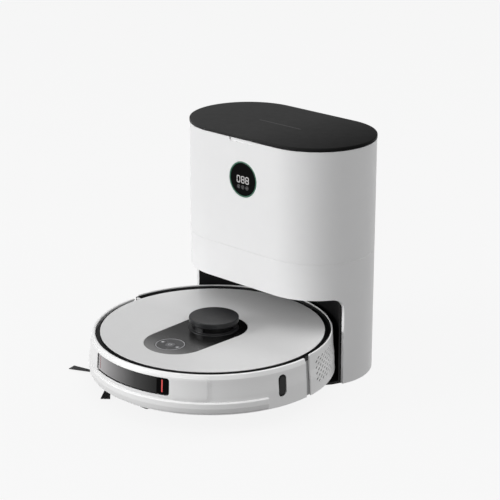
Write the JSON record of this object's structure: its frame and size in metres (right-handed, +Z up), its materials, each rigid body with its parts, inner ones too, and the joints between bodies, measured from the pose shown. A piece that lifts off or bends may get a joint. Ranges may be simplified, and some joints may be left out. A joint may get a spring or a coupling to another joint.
{
  "type": "robot vacuum with self-emptying dock",
  "caption": "Round robot vacuum with a laser turret and sprung bumper, parked in a tall white dock that empties its dust box into a bag under a hinged black lid.",
  "frame": {"origin": "centre of the dock's base, on the floor", "axes": "+Z up; +Y from the robot to the dock's back; +X to the right seen from the front, so the side brush is on -X"},
  "size_m": [0.3546, 0.4132, 0.35],
  "materials": {
    "white_shell": "satin moulded ABS, off-white",
    "black_plastic": "fine-textured black plastic",
    "black_lid": "satin black lid",
    "dark_plastic": "dark grey moulded plastic",
    "grey_plastic": "mid grey moulded plastic",
    "silver_lid": "fine silver paint, satin",
    "inlay": "dark grey satin inlay",
    "key_tops": "grey key caps",
    "rubber": "soft black rubber",
    "tyre": "ribbed black rubber tread",
    "bristle": "black bristles and rubber blades",
    "dark_glass": "polished smoke-black window",
    "green_ring": "translucent light guide, dim green",
    "steel": "turned and drawn steel",
    "contact_metal": "plated contact metal",
    "filter_paper": "non-woven filter paper",
    "bag_card": "pressed card",
    "smoky_box": "smoke-grey plastic",
    "board_green": "circuit board",
    "battery_wrap": "shrink-wrapped cells"
  },
  "bodies": {
    "dock": {"dock_lower_casing": "white_shell", "dock_upper_casing": "white_shell", "lid_hinge_pin": "steel", "bay_liner": "black_plastic", "floor_plate": "black_plastic", "foot_left": "rubber", "foot_right": "rubber", "bag_compartment": "grey_plastic", "dust_bag": "filter_paper", "bag_collar": "bag_card", "air_duct": "black_plastic", "port_seal": "rubber", "suction_housing": "black_plastic", "suction_motor": "steel", "display_window": "dark_glass", "display_ring": "green_ring", "exhaust_grille": "grey_plastic", "mains_inlet": "black_plastic", "power_board": "board_green"},
    "dock_lid": {"dock_lid": "black_lid"},
    "suction_impeller": {"suction_impeller": "grey_plastic"},
    "dock_contact_left": {"dock_contact_left": "contact_metal"},
    "dock_contact_right": {"dock_contact_right": "contact_metal"},
    "robot": {"chassis": "dark_plastic", "rear_shell": "white_shell", "robot_contact_left": "contact_metal", "robot_contact_right": "contact_metal", "top_deck": "black_plastic", "robot_lid": "silver_lid", "lid_inlay": "inlay", "key_panel": "inlay", "turret_base": "dark_plastic", "turret_cap": "dark_plastic", "brush_guard": "dark_plastic", "brush_gearbox": "dark_plastic", "side_brush_motor": "steel", "dust_box": "smoky_box", "dust_filter": "filter_paper", "blower_housing": "black_plastic", "battery_pack": "battery_wrap", "main_board": "board_green"},
    "bumper": {"bumper": "white_shell", "front_window": "dark_glass", "side_window": "dark_glass"},
    "outlet_flap": {"outlet_flap": "grey_plastic"},
    "power_button": {"power_button": "key_tops"},
    "home_button": {"home_button": "key_tops"},
    "spot_button": {"spot_button": "key_tops"},
    "lidar_head": {"lidar_head": "dark_plastic"},
    "left_arm": {"left_arm": "dark_plastic"},
    "right_arm": {"right_arm": "dark_plastic"},
    "left_wheel": {"left_tyre": "tyre", "left_hub": "grey_plastic"},
    "right_wheel": {"right_tyre": "tyre", "right_hub": "grey_plastic"},
    "caster_fork": {"caster_fork": "dark_plastic"},
    "caster_wheel": {"caster_wheel": "rubber"},
    "main_brush": {"main_brush": "bristle"},
    "side_brush": {"side_brush": "bristle"},
    "blower_impeller": {"blower_impeller": "grey_plastic"}
  },
  "joints": [
    {"name": "lid_hinge", "type": "hinge", "parent": "dock", "child": "dock_lid", "pos_m": [0, 0.0898, 0.344], "axis": [-1, 0, 0], "range_deg": [0, 80]},
    {"name": "suction_spin", "type": "hinge", "parent": "dock", "child": "suction_impeller", "pos_m": [0.095, 0, 0.27], "axis": [0, 0, 1], "continuous": true},
    {"name": "contact_left_press", "type": "slide", "parent": "dock", "child": "dock_contact_left", "axis": [0, 1, 0], "range_m": [0, 0.0025], "stiffness_N_per_m": 300},
    {"name": "contact_right_press", "type": "slide", "parent": "dock", "child": "dock_contact_right", "axis": [0, 1, 0], "range_m": [0, 0.0025], "stiffness_N_per_m": 300},
    {"name": "robot_drive", "type": "slide", "parent": "dock", "child": "robot", "axis": [0, -1, 0], "range_m": [0, 0.35]},
    {"name": "bumper_press", "type": "slide", "parent": "robot", "child": "bumper", "axis": [0, 1, 0], "range_m": [0, 0.003], "stiffness_N_per_m": 900},
    {"name": "outlet_flap_hinge", "type": "hinge", "parent": "robot", "child": "outlet_flap", "pos_m": [0, 0.0272, 0.0603], "axis": [1, 0, 0], "range_deg": [0, 55], "stiffness_Nm_per_rad": 0.0015},
    {"name": "power_button_press", "type": "slide", "parent": "robot", "child": "power_button", "axis": [0, 0, -1], "range_m": [0, 0.0006], "stiffness_N_per_m": 500},
    {"name": "home_button_press", "type": "slide", "parent": "robot", "child": "home_button", "axis": [0, 0, -1], "range_m": [0, 0.0006], "stiffness_N_per_m": 500},
    {"name": "spot_button_press", "type": "slide", "parent": "robot", "child": "spot_button", "axis": [0, 0, -1], "range_m": [0, 0.0006], "stiffness_N_per_m": 500},
    {"name": "lidar_spin", "type": "hinge", "parent": "robot", "child": "lidar_head", "pos_m": [0, -0.1409, 0.08], "axis": [0, 0, 1], "continuous": true},
    {"name": "left_suspension", "type": "hinge", "parent": "robot", "child": "left_arm", "pos_m": [-0.097, -0.0896, 0.04], "axis": [1, 0, 0], "range_deg": [-3, 18], "stiffness_Nm_per_rad": 0.6, "springref_deg": 28.65},
    {"name": "right_suspension", "type": "hinge", "parent": "robot", "child": "right_arm", "pos_m": [0.097, -0.0896, 0.04], "axis": [1, 0, 0], "range_deg": [-3, 18], "stiffness_Nm_per_rad": 0.6, "springref_deg": 28.65},
    {"name": "left_wheel_roll", "type": "hinge", "parent": "left_arm", "child": "left_wheel", "pos_m": [-0.113, -0.1376, 0.035], "axis": [1, 0, 0], "continuous": true},
    {"name": "right_wheel_roll", "type": "hinge", "parent": "right_arm", "child": "right_wheel", "pos_m": [0.113, -0.1376, 0.035], "axis": [1, 0, 0], "continuous": true},
    {"name": "caster_swivel", "type": "hinge", "parent": "robot", "child": "caster_fork", "pos_m": [0, -0.2656, 0.03], "axis": [0, 0, 1], "continuous": true},
    {"name": "caster_roll", "type": "hinge", "parent": "caster_fork", "child": "caster_wheel", "pos_m": [0, -0.2736, 0.0135], "axis": [1, 0, 0], "continuous": true},
    {"name": "main_brush_spin", "type": "hinge", "parent": "robot", "child": "main_brush", "pos_m": [0, -0.1186, 0.0225], "axis": [1, 0, 0], "continuous": true},
    {"name": "side_brush_spin", "type": "hinge", "parent": "robot", "child": "side_brush", "pos_m": [-0.108, -0.2406, 0.009], "axis": [0, 0, 1], "continuous": true},
    {"name": "blower_spin", "type": "hinge", "parent": "robot", "child": "blower_impeller", "pos_m": [-0.085, -0.0406, 0.045], "axis": [0, 0, 1], "continuous": true}
  ],
  "couplings": [
    {"joint": "left_wheel_roll", "follows": "robot_drive", "rad_per_m": 28.571},
    {"joint": "right_wheel_roll", "follows": "robot_drive", "rad_per_m": 28.571}
  ]
}
